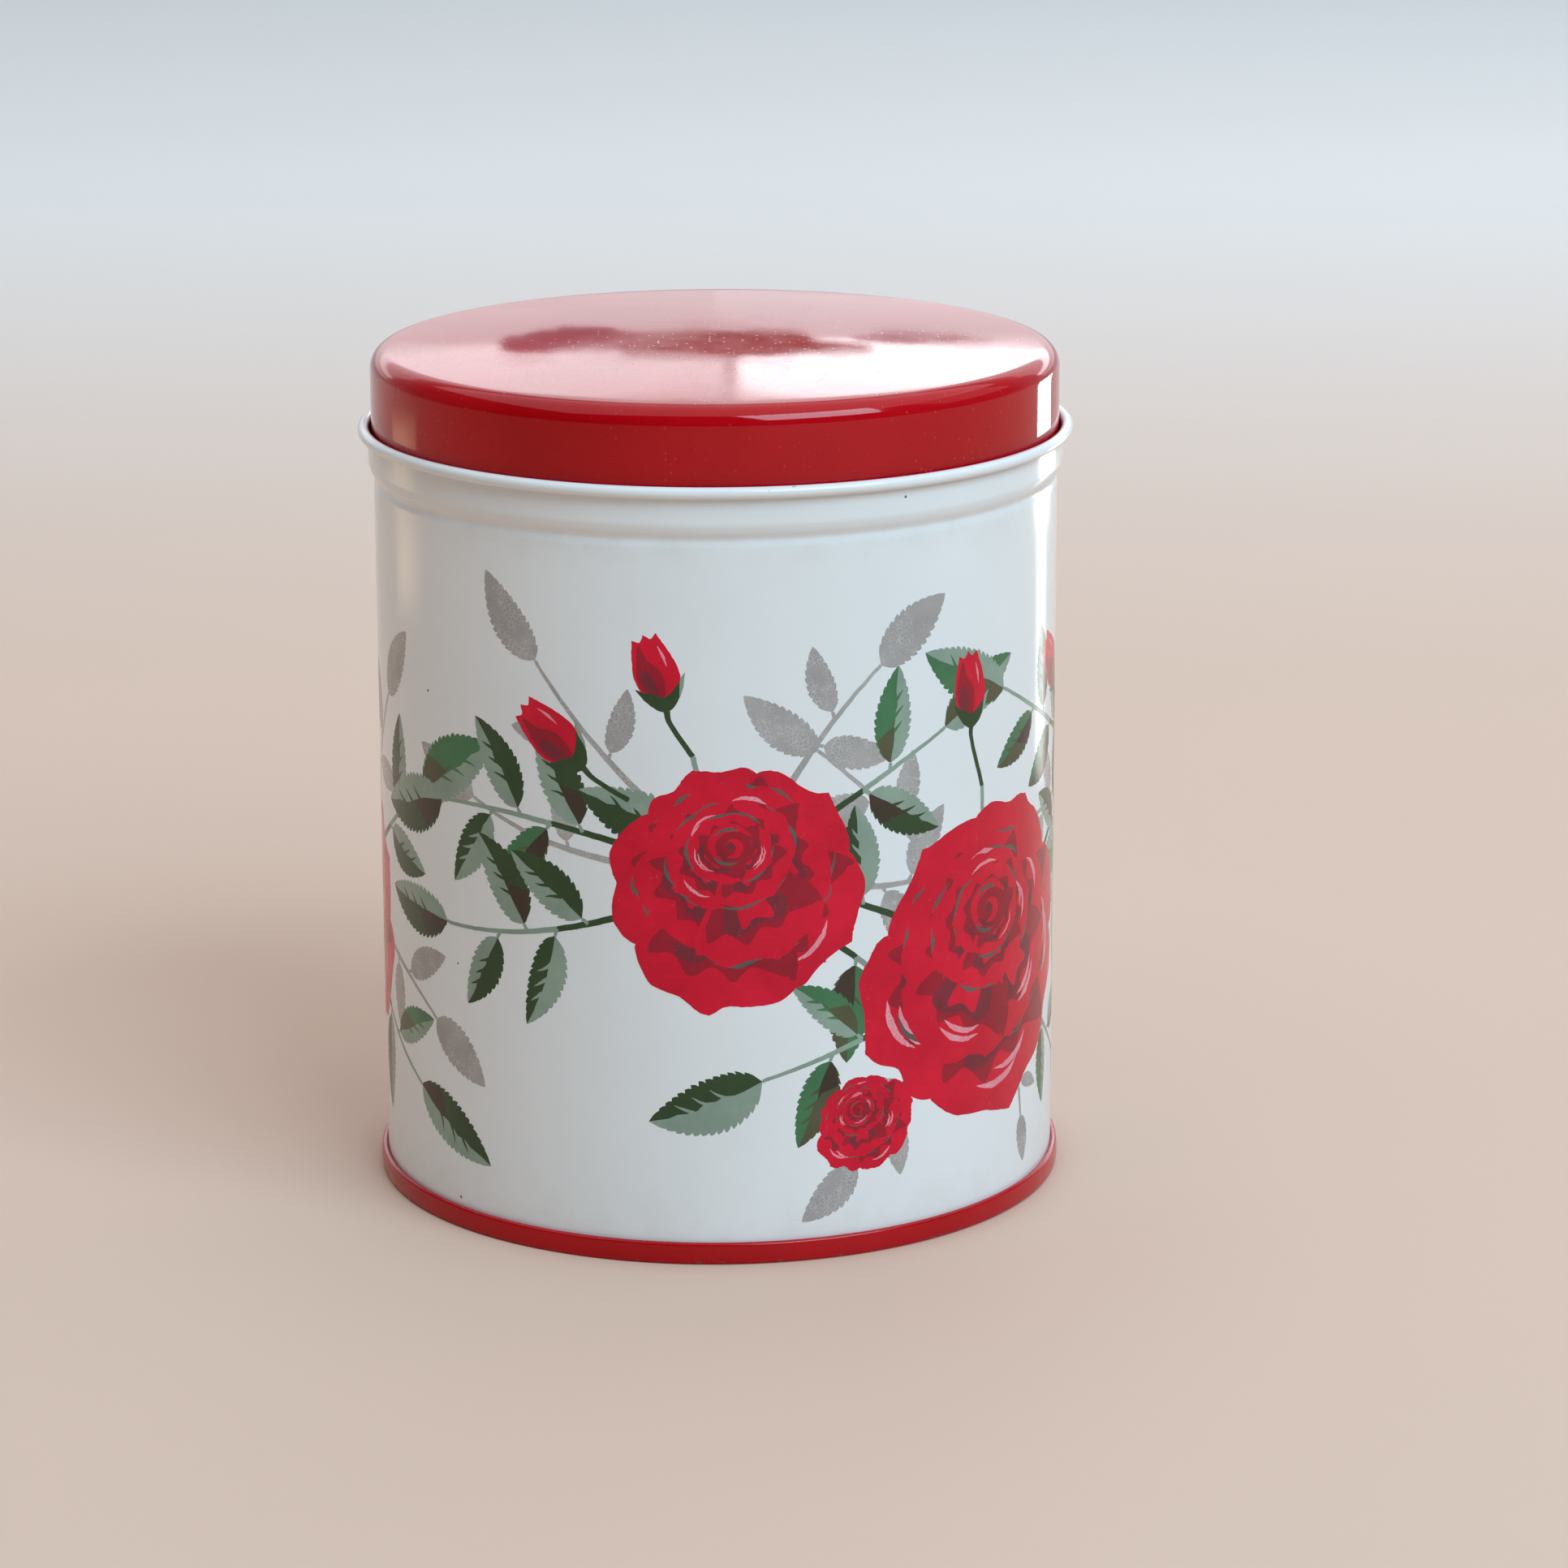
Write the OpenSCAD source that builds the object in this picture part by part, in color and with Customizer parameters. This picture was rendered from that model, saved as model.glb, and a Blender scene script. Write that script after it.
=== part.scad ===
// Round household biscuit tin made from tinplate.
// A rolled body with a folded side seam, a stepped mouth and an outward rolled rim,
// a bottom end closed onto the body by a double seam, and a drawn lid that slips
// into the mouth and stands on the step. The tin stands on z = 0 with its axis on Z,
// and the side seam runs up the back, on +Y.

/* [Body] */
// Outside diameter of the plain part of the body
body_d = 140; // [110:1:180]
// Height above the table at which the body starts to widen into the mouth
step_z = 147; // [90:1:220]
// Height of the step between the plain wall and the mouth
step_h = 4; // [3:0.5:6]
// How much larger the mouth's radius is than the body's
step_w = 1.1; // [1:0.1:1.4]
// Depth of the shallow groove that is rolled in under the step
groove = 0.25; // [0:0.05:0.4]
// Height from the top of the step to the middle of the rolled rim
mouth_h = 6.1; // [5:0.1:10]
// Outside diameter of the rolled rim's section
rim_d = 2.35; // [2:0.05:2.8]
// Thickness of the tinplate in the body
body_t = 0.3; // [0.25:0.01:0.32]

/* [Side seam] */
// Width of the folded side seam inside the body
fold_w = 4.5; // [3:0.5:6]
// Number of folded layers that stand inside the body's wall
fold_layers = 3; // [2:1:3]
// Width of the line that the fold leaves on the outside
fold_line_w = 0.4; // [0.2:0.1:0.6]

/* [Bottom end] */
// Height of the double seam that joins the bottom end to the body
seam_h = 4.5; // [4.5:0.1:5.5]
// How far the seam's outer wall bulges
seam_bulge = 0.12; // [0:0.02:0.14]
// Height of the panel's underside above the table
panel_z = 3.5; // [2.5:0.1:3.6]
// Radius of the stiffening bead in the panel, as a share of the body's radius
bead_share = 0.75; // [0.4:0.05:0.85]
// Depth of that bead
bead_depth = 0.8; // [0:0.1:1.2]

/* [Lid] */
// Gap all round between the lid's skirt and the mouth
lid_gap = 0.44; // [0.35:0.01:0.6]
// Height of the lid's wall, from the middle of the rolled rim to where its corner starts
lid_wall = 12.5; // [8:0.5:30]
// Outside radius of the lid's corner
corner_r = 4; // [2:0.5:8]
// Rise of the domed top from the corner to the middle
dome_rise = 1.8; // [0.5:0.1:6]
// Outside diameter of the curl along the lid's lower edge
hem_d = 1.6; // [1.4:0.1:1.8]
// Thickness of the tinplate in the lid
lid_t = 0.3; // [0.25:0.01:0.32]

/* [Hidden] */
$fn = 180;

enamel_white = [0.90, 0.91, 0.90];
lacquer_red = [0.62, 0.05, 0.08];
compound_grey = [0.35, 0.35, 0.36];

body_r = body_d / 2;
wall_r = body_r - body_t / 2;            // middle of the body's sheet
mouth_r = wall_r + step_w;               // middle of the sheet in the mouth
rim_z = step_z + step_h + mouth_h;       // middle of the rolled rim
curl_r = (rim_d - body_t) / 2;           // the rim's roll, along the middle of its sheet
rim_r = mouth_r + curl_r;                // the roll's own centre

seam_t = 0.3;                            // sheet of the bottom end
chuck_r = body_r - body_t - seam_t / 2;  // wall of the bottom end that stands inside the body
hook_r = body_r + seam_t / 2;            // hook of the bottom end, against the outside of the body
body_hook_r = wall_r + 0.7;              // hook of the body, between the end's hook and its outer wall
outer_r = body_r + 1.15;                 // outer wall of the seam
seam_top = seam_h - seam_t / 2;
seam_roll = (outer_r - hook_r) / 2;
bead_r = bead_share * body_r;

lid_r = mouth_r - body_t / 2 - lid_gap;  // outside of the lid's skirt
lid_mid = lid_r - lid_t / 2;
hem_r = (hem_d - lid_t) / 2;
hem_c = lid_mid - hem_r;                 // centre of the lid's hem
corner_z = rim_z + lid_wall;

// Points on an arc of radius r about (cx, cy), from angle a0 to a1 in n steps
function arc(cx, cy, r, a0, a1, n) =
    [for (i = [0:n]) let (a = a0 + (a1 - a0) * i / n) [cx + r * cos(a), cy + r * sin(a)]];

// A curve that leaves 0 and reaches 1 without a corner
function ease(x) = x <= 0 ? 0 : x >= 1 ? 1 : x * x * (3 - 2 * x);

// A rounded hump, 0 at both ends of the range from 0 to 1
function hump(x) = x <= 0 || x >= 1 ? 0 : pow(sin(180 * x), 2);

// Drops a point that repeats the one before it
function tidy(p) = [for (i = [0:len(p) - 1]) if (i == 0 || norm(p[i] - p[i - 1]) > 0.005) p[i]];

// The path p moved sideways by d, with mitred corners, and never past the axis
function side(p, d) = [for (i = [0:len(p) - 1])
    let (
        u = i == 0 ? (p[1] - p[0]) / norm(p[1] - p[0]) : (p[i] - p[i - 1]) / norm(p[i] - p[i - 1]),
        v = i == len(p) - 1 ? u : (p[i + 1] - p[i]) / norm(p[i + 1] - p[i]),
        w = (u + v) / norm(u + v),
        q = p[i] + [-w[1], w[0]] * d / (w * u)
    ) [p[i][0] < 0.01 ? 0 : q[0], q[1]]];

// A sheet of thickness t whose middle follows the path p
module sheet(p, t) {
    q = tidy(p);
    a = side(q, t / 2);
    b = side(q, -t / 2);
    polygon(concat(a, [for (i = [len(b) - 1:-1:0]) b[i]]));
}

// Middle of the body's sheet at height z: plain wall, groove, step, mouth
function body_path_r(z) = wall_r
    + step_w * ease((z - step_z) / step_h)
    - groove * hump((z - step_z + 1.4) / 3.6);

// Middle of the seam's outer wall at height z, slightly bulged
function seam_wall_r(z, z0, z1) = outer_r + seam_bulge * (1 - pow((2 * z - z0 - z1) / (z1 - z0), 2));

// Lowest height at which the lid's hem, with a little air, clears the inside of the step
hem_z = max([for (z = [step_z - 2:0.05:step_z + step_h + 0.5])
    let (
        slope = (body_path_r(z + 0.05) - body_path_r(z - 0.05)) / 0.1,
        face = body_path_r(z) - body_t / 2 * sqrt(1 + slope * slope),
        reach = hem_d / 2 + 0.06,
        off = face - hem_c
    ) if (abs(off) < reach) z + sqrt(reach * reach - off * off)]);

module body_shell() {
    body_path = concat(
        [[body_hook_r, seam_top - 1.05]],
        arc(wall_r + 0.35, 1.25, 0.35, 0, -180, 8),
        [for (z = [step_z - 1.4:0.35:step_z + step_h]) [body_path_r(z), z]],
        [[mouth_r, step_z + step_h]],
        arc(rim_r, rim_z, curl_r, 180, -135, 21)
    );
    fold_z0 = seam_h + 1;
    fold_z1 = step_z - 2;
    fold_t = fold_layers * body_t;
    inner = body_r - body_t;
    color(enamel_white)
    difference() {
        union() {
            rotate_extrude() sheet(body_path, body_t);
            // the folded layers of the side seam
            intersection() {
                translate([0, 0, fold_z0]) difference() {
                    cylinder(r = inner + body_t / 4, h = fold_z1 - fold_z0);
                    translate([0, 0, -1]) cylinder(r = inner - fold_t, h = fold_z1 - fold_z0 + 2);
                }
                translate([-fold_w / 2, 0, fold_z0 - 1]) cube([fold_w, body_r, fold_z1 - fold_z0 + 2]);
            }
        }
        // the line beside the fold, outside
        translate([fold_w / 2 - fold_line_w, body_r - body_t / 2, fold_z0])
            cube([fold_line_w, body_t, fold_z1 - fold_z0]);
    }
}

module bottom_end() {
    flat0 = chuck_r + 0.5;
    flat1 = outer_r - 0.5;
    z0 = seam_t / 2 + 0.5;
    z1 = seam_top - seam_roll;
    rise_r = chuck_r - 5.05;
    p_z = panel_z + seam_t / 2;
    top_z = p_z + 0.8;
    end_path = concat(
        [[0, p_z]],
        [for (i = [0:12]) [bead_r - 2.5 + 5 * i / 12, p_z - bead_depth * hump(i / 12)]],
        [for (i = [0:8]) [rise_r + 2 * i / 8, p_z + 0.8 * ease(i / 8)]],
        arc(chuck_r - 0.9, top_z - 0.9, 0.9, 90, 0, 6),
        arc(flat0, z0, 0.5, 180, 270, 6),
        arc(flat1, z0, 0.5, 270, 360, 6),
        [for (i = [1:7]) let (z = z0 + (z1 - z0) * i / 8) [seam_wall_r(z, z0, z1), z]],
        arc((outer_r + hook_r) / 2, z1, seam_roll, 0, 180, 10),
        [[hook_r, 1.75]]
    );
    color(lacquer_red) rotate_extrude() sheet(end_path, seam_t);
}

module seam_compound() {
    z0 = seam_t / 2 + 0.5;
    z1 = seam_top - seam_roll;
    inner = body_hook_r + body_t / 2;
    low = 1.3;
    high = seam_top - 1.15;
    color(compound_grey) rotate_extrude() polygon(concat(
        [[inner, low]],
        [for (i = [0:6]) let (z = low + (high - low) * i / 6) [seam_wall_r(z, z0, z1) - seam_t / 2 - 0.02, z]],
        [[inner, high]]
    ));
}

module lid() {
    in_r = lid_r - corner_r;
    tilt = 2 * atan(dome_rise / (in_r + corner_r * sin(2 * atan(dome_rise / in_r))));
    edge_r = in_r + corner_r * sin(tilt);
    dome_r = edge_r / sin(tilt) - lid_t / 2;
    dome_z = corner_z + corner_r * cos(tilt) + dome_rise - dome_r - lid_t / 2;
    lid_path = concat(
        [[0, dome_z + dome_r]],
        arc(0, dome_z, dome_r, 90 - tilt / 14, 90 - tilt, 13),
        arc(in_r, corner_z, corner_r - lid_t / 2, 90 - tilt, 0, 10),
        arc(hem_c, hem_z, hem_r, 0, -300, 20)
    );
    color(lacquer_red) rotate_extrude() sheet(lid_path, lid_t);
}

body_shell();
bottom_end();
seam_compound();
lid();
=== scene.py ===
"""Round household biscuit tin with a printed garland of roses: the visual model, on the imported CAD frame."""

import bpy
import numpy as np
from mathutils import Matrix, Vector
from mathutils.geometry import delaunay_2d_cdt


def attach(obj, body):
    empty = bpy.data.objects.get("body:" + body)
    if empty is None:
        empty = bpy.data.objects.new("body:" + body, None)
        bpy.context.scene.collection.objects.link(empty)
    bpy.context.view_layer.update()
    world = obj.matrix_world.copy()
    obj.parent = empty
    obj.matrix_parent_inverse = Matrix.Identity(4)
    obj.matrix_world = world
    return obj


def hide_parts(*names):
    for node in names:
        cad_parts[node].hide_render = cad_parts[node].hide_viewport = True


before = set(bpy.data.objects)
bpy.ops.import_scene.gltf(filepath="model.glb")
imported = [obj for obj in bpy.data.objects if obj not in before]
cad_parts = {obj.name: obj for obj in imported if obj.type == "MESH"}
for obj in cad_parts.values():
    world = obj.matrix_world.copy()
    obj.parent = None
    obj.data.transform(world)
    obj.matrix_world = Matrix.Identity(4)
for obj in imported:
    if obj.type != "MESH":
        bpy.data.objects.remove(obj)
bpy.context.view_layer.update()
MM = 0.001

# ---------------------------------------------------------------- the printed flowers
# A generic garland of roses, built by rule on the unrolled wall in millimetres: u runs
# round the tin from the front (0) towards +X and z is the height. Each shape is
# (ink, outline), and later shapes lie on top of earlier ones.
import math
import random

SHAPES = []


def spline(pts, closed=True, n=5):
    """A smooth curve through pts. A point with a third value is a sharp corner."""
    k = len(pts)
    out = []
    for i in range(k if closed else k - 1):
        a, b = pts[i], pts[(i + 1) % k]
        p = pts[(i - 1) % k] if closed or i > 0 else a
        q = pts[(i + 2) % k] if closed or i + 2 < k else b
        ma = ((b[0] - p[0]) / 2, (b[1] - p[1]) / 2) if len(a) < 3 else (b[0] - a[0], b[1] - a[1])
        mb = ((q[0] - a[0]) / 2, (q[1] - a[1]) / 2) if len(b) < 3 else (b[0] - a[0], b[1] - a[1])
        for j in range(n):
            t = j / n
            h1, h2 = 2 * t ** 3 - 3 * t * t + 1, t ** 3 - 2 * t * t + t
            h3, h4 = -2 * t ** 3 + 3 * t * t, t ** 3 - t * t
            out.append((h1 * a[0] + h2 * ma[0] + h3 * b[0] + h4 * mb[0],
                        h1 * a[1] + h2 * ma[1] + h3 * b[1] + h4 * mb[1]))
    if not closed:
        out.append((pts[-1][0], pts[-1][1]))
    return out


def fits(start):
    """Whether everything drawn since start keeps off the side seam and the plain margins at the top and foot of the wall."""
    return all(7 < z < 144 and -212 < u < 212 for _, poly in SHAPES[start:] for u, z in poly)


class Pen:
    """Draws in local coordinates and lays the shapes down turned and moved."""

    def __init__(self, at=(0, 0), turn=0.0, seed=1):
        self.at = at
        self.c, self.s = math.cos(math.radians(turn)), math.sin(math.radians(turn))
        self.rnd = random.Random(seed)

    def raw(self, ink, poly):
        c, s = self.c, self.s
        SHAPES.append((ink, [(self.at[0] + c * x - s * y, self.at[1] + s * x + c * y) for x, y in poly]))

    def blob(self, ink, pts, amp=0.07, n=5):
        poly = spline(pts, True, n)
        out = []
        for i, (x, y) in enumerate(poly):
            (px, py), (qx, qy) = poly[i - 1], poly[(i + 1) % len(poly)]
            d = math.hypot(qx - px, qy - py) or 1.0
            a = self.rnd.uniform(-amp, amp)
            out.append((x - (qy - py) / d * a, y + (qx - px) / d * a))
        self.raw(ink, out)

    def stroke(self, ink, pts, widths, amp=0.05, n=6):
        """A tapering brush stroke along a curve, with the width given at each of its points."""
        path = spline(pts, False, n)
        k = len(pts) - 1
        left, right = [], []
        for i, (x, y) in enumerate(path):
            t = i / (len(path) - 1) * k
            j = min(int(t), k - 1)
            w = max((widths[j] * (1 - (t - j)) + widths[j + 1] * (t - j)) / 2, 0.03)
            a, b = path[max(i - 1, 0)], path[min(i + 1, len(path) - 1)]
            d = math.hypot(b[0] - a[0], b[1] - a[1]) or 1.0
            nx, ny = -(b[1] - a[1]) / d, (b[0] - a[0]) / d
            e = self.rnd.uniform(-amp, amp)
            left.append((x + nx * (w + e), y + ny * (w + e)))
            right.append((x - nx * (w - e), y - ny * (w - e)))
        self.raw(ink, left + right[::-1])

    def leaf(self, base, turn, length, width, inks, bend=0.08, side=1):
        """A serrated leaf. inks is (whole leaf, shaded half or None, patch by the stalk or None)."""
        rnd = self.rnd
        ca, sa = math.cos(math.radians(turn)), math.sin(math.radians(turn))

        def at(t, f):
            """t along the midrib, f from the midrib (0) to one edge (1) or the other (-1)."""
            w = width / 2 * (t ** 0.62) * ((1 - t) ** 0.88) / 0.47 if 0 < t < 1 else 0
            x, y = t * length, 4 * t * (1 - t) * bend * length * 0.5 + w * f
            return (base[0] + ca * x - sa * y, base[1] + sa * x + ca * y)

        teeth = max(6, int(length / 1.7))
        edge = {}
        for s in (1, -1):
            pts = [at(0, 0)]
            for i in range(teeth):
                t0 = 0.05 + 0.9 * i / teeth
                t1 = t0 + 0.9 / teeth * rnd.uniform(0.62, 0.85)
                bite = rnd.uniform(0.10, 0.20)
                pts += [at(t0, s * (1 - bite * 0.5)), at((t0 + t1) / 2, s * (1 + bite * 0.15)),
                        at(t1 + 0.25 / length, s * (1 + bite * 0.5))]
            pts.append(at(1, 0))
            edge[s] = pts
        whole, half, root = inks
        self.raw(whole, edge[1] + edge[-1][::-1][1:-1])
        if half:
            inner = [at(1 - i / 12, -side * 0.12 * math.sin(math.pi * i / 12) * rnd.uniform(0.2, 2.0))
                     for i in range(1, 12)]
            self.raw(half, edge[side] + inner)
            # short veins of the shaded ink that run into the light half
            for t in (0.3, 0.46, 0.62):
                a, b, c = at(t, 0), at(t + 0.08, -side * 0.34), at(t + 0.13, -side * rnd.uniform(0.5, 0.7))
                self.stroke(half, [a, b, c], [0.9, 0.5, 0.05], n=3)
        if root:
            far = rnd.uniform(0.34, 0.5)
            rim = [at(far * i / 8 + 0.01, side * (0.9 if i < 6 else 0.9 - 0.3 * (i - 5))) for i in range(9)]
            back = [at(far * 1.3 * (1 - i / 6) + 0.005, -side * 0.16 * math.sin(3.1 * i / 6)) for i in range(7)]
            self.raw(root, rim + back)

    def sprig(self, at, turn, length, pairs, size, inks, stalk, curl=20, twig=None):
        """A compound leaf: a curved stalk with leaflets in pairs and one at its end."""
        rnd = self.rnd
        pts, leaves = [at], []
        x, y = at
        steps = 2 * pairs + 3
        for i in range(steps):
            a = math.radians(turn + curl * i / steps)
            x, y = x + math.cos(a) * length / steps, y + math.sin(a) * length / steps
            pts.append((x, y))
        n = len(pts) - 1
        for i in range(pairs):
            k = n - 2 - 2 * i
            if k < 2:
                break
            a = turn + curl * k / steps
            for s in (1, -1):
                px, py = pts[k] if s > 0 else pts[k - 1]
                leaves.append(((px, py), a + s * rnd.uniform(48, 62), size * rnd.uniform(0.72, 0.9), s))
        leaves.append((pts[-1], turn + curl + rnd.uniform(-6, 6), size * rnd.uniform(1.0, 1.12), 1))
        w = [1.5 - 0.8 * i / n for i in range(n + 1)]
        cut = max(1, n // 2)
        self.stroke(stalk[0], pts[:cut + 1], w[:cut + 1])
        self.stroke(stalk[-1], pts[cut:], w[cut:])
        for p, a, s, sd in leaves:
            body = inks[rnd.randrange(len(inks))]
            c, d = math.cos(math.radians(a)), math.sin(math.radians(a))
            q = (p[0] + c * 1.6, p[1] + d * 1.6)
            self.stroke(stalk[-1], [p, q], [0.8, 0.7])
            self.leaf(q, a, s, s * rnd.uniform(0.50, 0.60), body, sd * rnd.uniform(0.02, 0.12), sd)

    def petal(self, centre, a, half, r, squash, rib=0.0, points=1, lit=False):
        """One petal of a ring: its outline, its shaded foot and, where it catches the light, dry-brush streaks."""
        rnd = self.rnd

        def p(da, f, sharp=0):
            t = math.radians(a + da * half)
            q = (centre[0] + math.cos(t) * f * r, centre[1] + math.sin(t) * f * r * squash)
            return q + (1,) if sharp else q

        j = lambda v: v * rnd.uniform(0.97, 1.03)
        rim = [p(-1.0, 0.30), p(-1.08, 0.66), p(-1.0, j(0.88)), p(-0.80, j(0.97)), p(-0.58, j(1.02))]
        if points == 1:
            rim += [p(-0.30, j(1.02)), p(-0.10, j(1.04)), p(rnd.uniform(-0.02, 0.06), 1.085, 1), p(0.16, j(1.03)), p(0.34, j(1.0))]
        else:
            rim += [p(-0.34, j(1.04)), p(-0.14, j(1.02)), p(rnd.uniform(-0.05, 0.05), 0.965, 1), p(0.14, j(1.02)), p(0.36, j(1.05))]
        rim += [p(0.60, j(1.02)), p(0.82, j(0.97)), p(1.0, j(0.87)), p(1.08, 0.64), p(1.0, 0.30)]
        self.blob("crimson", rim, 0.09)
        # the shaded foot, with a ragged upper edge
        foot = [p(-0.9, 0.06), p(-0.98, 0.62), p(-0.84, j(0.84)), p(-0.60, j(0.72)), p(-0.30, j(0.84)), p(-0.04, j(0.70)),
                p(0.22, j(0.80)), p(0.48, j(0.72)), p(0.84, j(0.90)), p(1.0, 0.62), p(0.9, 0.06)]
        self.blob("deep", foot, 0.12)
        self.blob("maroon", [p(-0.7, 0.1), p(-0.66, j(0.68)), p(-0.34, j(0.74)), p(0.0, j(0.64)), p(0.34, j(0.70)), p(0.66, 0.6), p(0.7, 0.1)], 0.12)
        self.blob("crimson", [p(-0.40, 0.30), p(-0.34, j(0.66)), p(-0.06, j(0.60)), p(0.28, j(0.64)), p(0.3, 0.30)], 0.12)
        # the side that tucks under its neighbour
        self.stroke("deep", [p(1.0, 0.5), p(0.95, 0.74), p(0.86, 0.93)], [0.20 * r, 0.14 * r, 0.03 * r])
        if lit:
            for k in range(rnd.choice((1, 2, 2))):
                f = 0.86 - 0.07 * k
                b = rnd.uniform(-0.55, -0.1)
                self.stroke("pink", [p(b, f - 0.02), p(b + 0.22, f), p(b + 0.46, f - 0.01), p(b + 0.66, f - 0.05)],
                            [0.05, 0.055 * r * rnd.uniform(0.6, 1), 0.04 * r, 0.05], 0.09)

    def edge(self, centre, a, half, r, squash, lo, hi, w):
        """A slate line that parts a petal from the one behind it."""
        pts = []
        for i in range(5):
            t = math.radians(a + half * (lo + (hi - lo) * i / 4))
            f = r * (1.0 + 0.03 * math.sin(i * 2.1))
            pts.append((centre[0] + math.cos(t) * f, centre[1] + math.sin(t) * f * squash))
        self.stroke("slate", pts, [0.05, w, w * 1.2, w * 0.7, 0.05])

    def rose(self, R, open_=1.0):
        """A full rose seen a little from above: rings of petals round a coiled heart that sits high in the flower."""
        rnd = self.rnd
        rings = [(5, 1.0, 0.00, 0.96), (5, 0.76, 0.10, 0.92), (4, 0.54, 0.19, 0.88), (3, 0.36, 0.25, 0.86)]
        turn = rnd.uniform(0, 360)
        for k, (n, f, up, squash) in enumerate(rings):
            turn += 180 / n + rnd.uniform(-8, 8)
            centre = (0, up * R)
            order = sorted(range(n), key=lambda i: -math.sin(math.radians(turn + 360 / n * i)))
            for i in order:
                a = turn + 360 / n * i + rnd.uniform(-5, 5)
                down = 1 + (0.10 - 0.13 * math.sin(math.radians(a))) * (k < 2)
                r = R * f * down * rnd.uniform(0.95, 1.04)
                half = 360 / n * rnd.uniform(0.56, 0.66)
                if k:
                    self.edge(centre, a, half, r * 1.02, squash, rnd.uniform(-0.9, -0.6), rnd.uniform(-0.1, 0.5), 0.035 * R)
                self.petal(centre, a, half, r, squash, points=rnd.choice((1, 1, 2)), lit=rnd.random() < 0.5)
        cx, cy, r = 0, 0.27 * R, 0.22 * R
        self.blob("deep", [(cx + r * math.cos(t * 0.7), cy + r * 0.88 * math.sin(t * 0.7)) for t in range(9)], 0.1)
        for ink, r0, start, w in (("crimson", 0.95, 20, 0.30), ("maroon", 0.62, 200, 0.2), ("crimson", 0.52, 250, 0.24)):
            pts = [(cx + r * (r0 - 0.07 * i) * math.cos(math.radians(start + 48 * i)),
                    cy + r * 0.88 * (r0 - 0.07 * i) * math.sin(math.radians(start + 48 * i))) for i in range(6)]
            self.stroke(ink, pts, [0.05, w * r, w * r * 1.2, w * r, w * r * 0.7, 0.05])
        self.blob("maroon", [(cx - 0.16 * r, cy), (cx, cy + 0.2 * r), (cx + 0.18 * r, cy), (cx, cy - 0.16 * r)], 0.04)
        for start in (60, 210):
            pts = [(cx + r * 0.8 * math.cos(math.radians(start + 25 * i)), cy + r * 0.7 * math.sin(math.radians(start + 25 * i)))
                   for i in range(4)]
            self.stroke("slate", pts, [0.05, 0.14 * r, 0.12 * r, 0.05])

    def bud(self, base, turn, length, width, stalk_to=None):
        """A closed bud with its cup of sepals, on a stalk."""
        ca, sa = math.cos(math.radians(turn)), math.sin(math.radians(turn))

        def p(f, g, sharp=0):
            x, y = f * length, g * width / 2
            q = (base[0] + ca * x - sa * y, base[1] + sa * x + ca * y)
            return q + (1,) if sharp else q

        if stalk_to:
            mid = ((base[0] + stalk_to[0]) / 2 + 1.6, (base[1] + stalk_to[1]) / 2 - 0.6)
            self.stroke("dark", [p(-0.05, 0), p(-0.3, 0.05), mid], [1.5, 1.0, 1.1])
            self.stroke("sage", [mid, ((mid[0] + stalk_to[0]) / 2, (mid[1] + stalk_to[1]) / 2), stalk_to], [1.1, 1.0, 1.2])
        self.blob("sage", [p(-0.10, 0), p(0.05, -0.75), p(0.36, -1.25, 1), p(0.20, -0.55), p(0.08, 0)])
        self.blob("crimson", [p(0, 0), p(0.10, -0.62), p(0.34, -1.0), p(0.62, -0.9), p(0.86, -0.66), p(1.0, -0.5, 1), p(0.94, -0.2),
                              p(1.02, 0.05, 1), p(0.93, 0.3), p(0.98, 0.62, 1), p(0.72, 0.86), p(0.4, 1.0), p(0.12, 0.64)])
        self.blob("deep", [p(0.06, 0.1), p(0.16, 0.6), p(0.42, 0.88), p(0.72, 0.66), p(0.88, 0.4), p(0.66, 0.2), p(0.46, -0.22), p(0.2, -0.2)])
        self.blob("maroon", [p(0.10, 0.2), p(0.22, 0.62), p(0.46, 0.72), p(0.52, 0.4), p(0.3, 0.16)])
        self.stroke("pink", [p(0.5, -0.55), p(0.66, -0.52), p(0.82, -0.40)], [0.05, 0.07 * width, 0.05])
        self.blob("dark", [p(-0.12, 0.05), p(0.02, 0.66), p(0.30, 1.12, 1), p(0.18, 0.5), p(0.10, 0.05), p(0.14, -0.4), p(0.26, -0.9, 1),
                           p(0.0, -0.6)])


LEAVES = [("sage", "dark", "brown"), ("sage", "dark", "brown"), ("sage", "green", "olive"), ("dark", "sage", None),
          ("green", "olive", "brown"), ("sage", "dark", None)]
SHADOW = [("grey", None, None)]


def fitted(draw):
    """Draws at full size, then smaller until it fits its place, and leaves it out whole if it never does."""
    for k in (1.0, 0.86, 0.74, 0.62, 0.52):
        start = len(SHAPES)
        draw(k)
        if fits(start):
            return
        del SHAPES[start:]


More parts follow.
